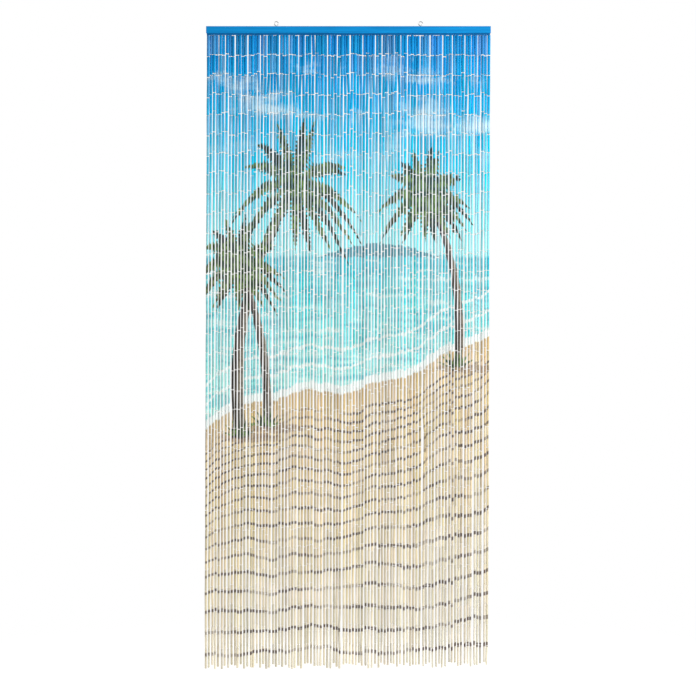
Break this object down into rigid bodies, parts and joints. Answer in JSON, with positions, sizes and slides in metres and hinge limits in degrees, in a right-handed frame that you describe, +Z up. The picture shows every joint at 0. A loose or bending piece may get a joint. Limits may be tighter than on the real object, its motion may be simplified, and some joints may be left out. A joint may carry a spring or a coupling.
{
  "type": "bead curtain with hanging rail",
  "caption": "Doorway curtain of painted bamboo tubes strung end to end in close strands under a slim painted wooden rail with wire screw eyes on top for hanging.",
  "frame": {"origin": "midway between the two screw eyes, at the height where the hooks bear at the top inside their rings", "axes": "+X along the rail to the viewer's right, +Z up, and the painted front faces -Y"},
  "size_m": [0.9043, 0.012, 2.0486],
  "materials": {
    "painted_wood": "satin blue paint over fine wood grain",
    "painted_bamboo": "thin satin paint in sky, sea and sand colours over bamboo, with bare pale tube ends",
    "steel_wire": "bright zinc-plated wire"
  },
  "bodies": {
    "root": {"rail": "painted_wood", "strands": "painted_bamboo", "eye_left": "steel_wire", "eye_right": "steel_wire"}
  },
  "joints": []
}
